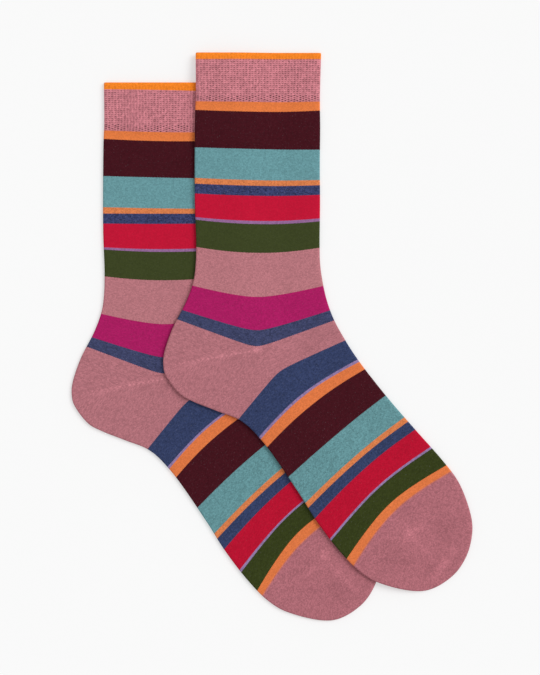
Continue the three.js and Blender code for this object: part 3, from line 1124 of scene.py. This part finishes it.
class SOCKS_PG_studio(bpy.types.PropertyGroup):
    """Camera, table and light."""

    table_colour: bpy.props.FloatVectorProperty(
        name="Table", description="Colour of the table", subtype="COLOR", size=3, default=(0.9, 0.9, 0.9)
    )
    table_glow: bpy.props.FloatProperty(
        name="Table glow", description="Share of the table's light from below", default=0.45, min=0, max=1
    )
    sky_strength: bpy.props.FloatProperty(
        name="Sky", description="Strength of the even light", default=0.69, min=0, max=5
    )
    key_strength: bpy.props.FloatProperty(
        name="Key", description="Strength of the large soft light", default=1.74, min=0
    )
    key_softness: bpy.props.FloatProperty(
        name="Key softness",
        description="Width of the light",
        unit="ROTATION",
        default=math.radians(34),
    )
    key_turn: bpy.props.FloatProperty(
        name="Key turn",
        description="Direction of the light from +X",
        unit="ROTATION",
        default=math.radians(28),
    )
    key_height: bpy.props.FloatProperty(
        name="Key height",
        description="Height of the light",
        unit="ROTATION",
        default=math.radians(42),
    )
    lens: bpy.props.FloatProperty(
        name="Lens", description="Focal length", unit="CAMERA", default=100, min=20, max=300
    )
    camera_height: length("Camera height", "Height of the camera over the table", 1253, 300, 5000)


# Where the camera hangs, in metres, and the table's size and how far it lies below the socks
CAMERA_OVER = (-0.00146, -0.00044)
TABLE_SIZE = 8
TABLE_DROP = 0.0001


class SOCKS_OT_knit_pair(bpy.types.Operator):
    """Knit both socks and lay the front one over the back one"""

    bl_idname = "socks.knit_pair"
    bl_label = "Knit Pair"
    bl_options = {"REGISTER", "UNDO"}

    def execute(self, context):
        sizes = context.scene.sock_sizes
        cloth = Cloth(sizes)
        material = knit_material(context.scene.sock_colours, cloth)
        lie_flat = {
            "back_sock": (BACK_PLACE, lambda places: np.zeros(len(places)), ["floor"]),
            "front_sock": (FRONT_PLACE, cloth.lift_on_back_sock, ["floor", "back_sock"]),
        }
        for node, (place, lift, rests_on) in lie_flat.items():
            sock = knit_sock(node, place, lift, sizes)
            sock.data.materials.append(material)
            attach(sock, "root")
            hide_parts(node)
        return {"FINISHED"}


class SOCKS_OT_set_stage(bpy.types.Operator):
    """Set the pale table, the camera over it and the soft light"""

    bl_idname = "socks.set_stage"
    bl_label = "Set Stage"
    bl_options = {"REGISTER", "UNDO"}

    def execute(self, context):
        studio = context.scene.sock_studio
        bpy.ops.object.select_all(action="DESELECT")
        bpy.ops.mesh.primitive_plane_add(size=TABLE_SIZE, location=(0, 0, -TABLE_DROP))
        floor = context.active_object
        floor.name = "floor"
        floor.data.materials.append(floor_material(studio))

        camera = bpy.data.objects.new("camera", bpy.data.cameras.new("camera"))
        camera.data.lens = studio.lens
        camera.data.sensor_width = 36
        camera.location = (*CAMERA_OVER, studio.camera_height)
        context.scene.collection.objects.link(camera)
        context.scene.camera = camera

        light = bpy.data.lights.new("key", "SUN")
        light.angle = studio.key_softness
        light.energy = studio.key_strength
        key = bpy.data.objects.new("key", light)
        key.location = (1.0, 0.5, 1.0)
        turn = studio.key_turn
        towards = Vector((math.cos(turn), math.sin(turn), math.tan(studio.key_height)))
        key.rotation_euler = towards.to_track_quat("Z", "Y").to_euler()
        context.scene.collection.objects.link(key)

        world = bpy.data.worlds.new("studio")
        world.use_nodes = True
        background = world.node_tree.nodes["Background"]
        background.inputs["Color"].default_value = (1.0, 1.0, 1.0, 1.0)
        background.inputs["Strength"].default_value = studio.sky_strength
        context.scene.world = world
        context.scene.view_settings.view_transform = "Standard"
        return {"FINISHED"}


class SOCKS_PT_panel(bpy.types.Panel):
    """Lists the steps and the sizes of the socks"""

    bl_idname = "SOCKS_PT_panel"
    bl_label = "Striped Socks"
    bl_space_type = "VIEW_3D"
    bl_region_type = "UI"
    bl_category = "Socks"

    def draw(self, context):
        column = self.layout.column()
        for operator in STEPS:
            column.operator(operator.bl_idname)
        for group in (context.scene.sock_sizes, context.scene.sock_colours, context.scene.sock_studio):
            column.separator()
            for name in group.__annotations__:
                column.prop(group, name)


STEPS = (SOCKS_OT_knit_pair, SOCKS_OT_set_stage)
CLASSES = (SOCKS_PG_sizes, SOCKS_PG_colours, SOCKS_PG_studio, *STEPS, SOCKS_PT_panel)


def register():
    for item in CLASSES:
        bpy.utils.register_class(item)
    bpy.types.Scene.sock_sizes = bpy.props.PointerProperty(type=SOCKS_PG_sizes)
    bpy.types.Scene.sock_colours = bpy.props.PointerProperty(type=SOCKS_PG_colours)
    bpy.types.Scene.sock_studio = bpy.props.PointerProperty(type=SOCKS_PG_studio)


def unregister():
    del bpy.types.Scene.sock_studio
    del bpy.types.Scene.sock_colours
    del bpy.types.Scene.sock_sizes
    for item in reversed(CLASSES):
        bpy.utils.unregister_class(item)


def main():
    register()
    bpy.ops.socks.knit_pair()
    bpy.ops.socks.set_stage()


if __name__ == "__main__":
    main()
